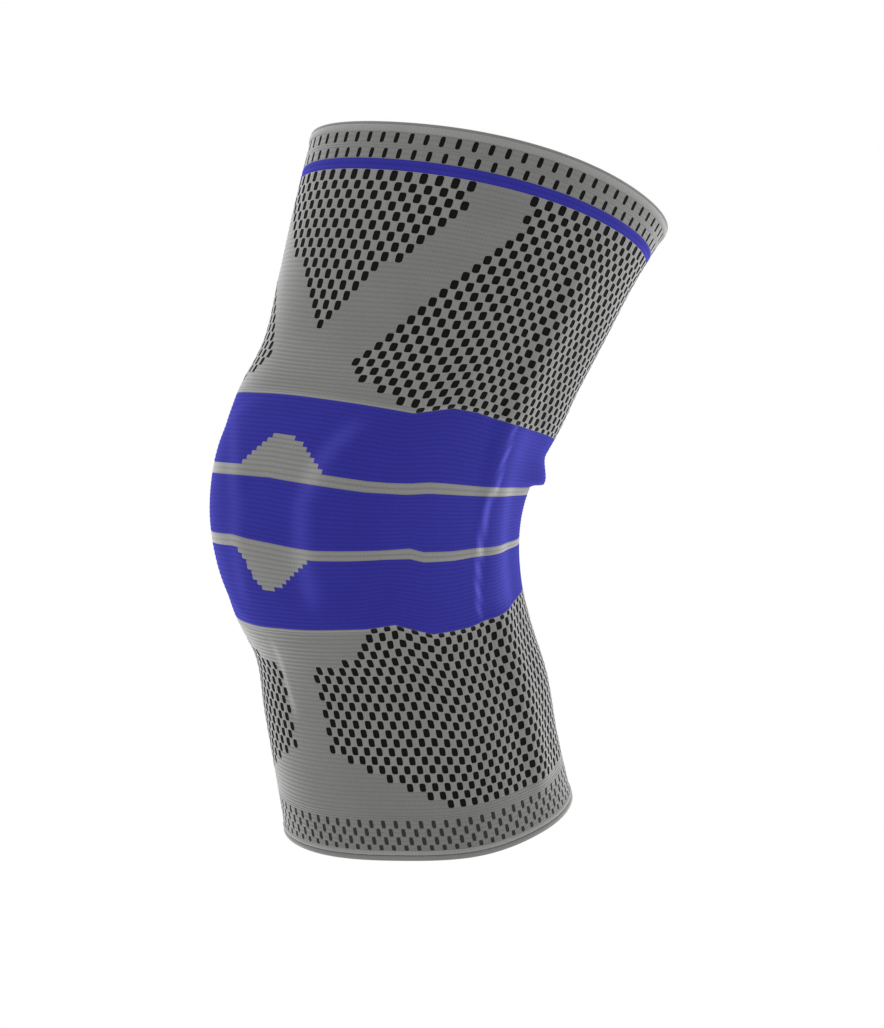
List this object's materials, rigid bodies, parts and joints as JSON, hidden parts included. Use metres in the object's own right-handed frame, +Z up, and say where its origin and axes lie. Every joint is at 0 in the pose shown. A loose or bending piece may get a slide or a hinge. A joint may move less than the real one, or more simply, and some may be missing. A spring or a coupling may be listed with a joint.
{
  "type": "knee sleeve",
  "caption": "Knitted tube for a slightly bent knee, with vented panels, a blue knee band and raised side stays.",
  "frame": {"origin": "middle of the knee inside the tube, on the leg's middle line", "axes": "+Z up through the slightly bent knee toward the thigh, -Y forward out of the kneecap, +X to one side"},
  "size_m": [0.1508, 0.231, 0.3138],
  "materials": {
    "grey_knit": "matt ribbed knit",
    "cuff_knit": "matt knit flecked with black stitches",
    "vent_knit": "matt knit in a check of black dots on grey",
    "blue_knit": "matt ribbed knit"
  },
  "bodies": {
    "root": {"top_hem": "grey_knit", "top_cuff": "cuff_knit", "top_stripe": "blue_knit", "thigh_knit": "grey_knit", "thigh_front_vent": "vent_knit", "thigh_back_vent": "vent_knit", "knee_band_upper": "blue_knit", "knee_stripe_upper": "grey_knit", "knee_band_middle": "blue_knit", "knee_stripe_lower": "grey_knit", "knee_band_lower": "blue_knit", "calf_knit": "grey_knit", "calf_vent": "vent_knit", "bottom_cuff": "cuff_knit", "bottom_hem": "grey_knit"}
  },
  "joints": []
}
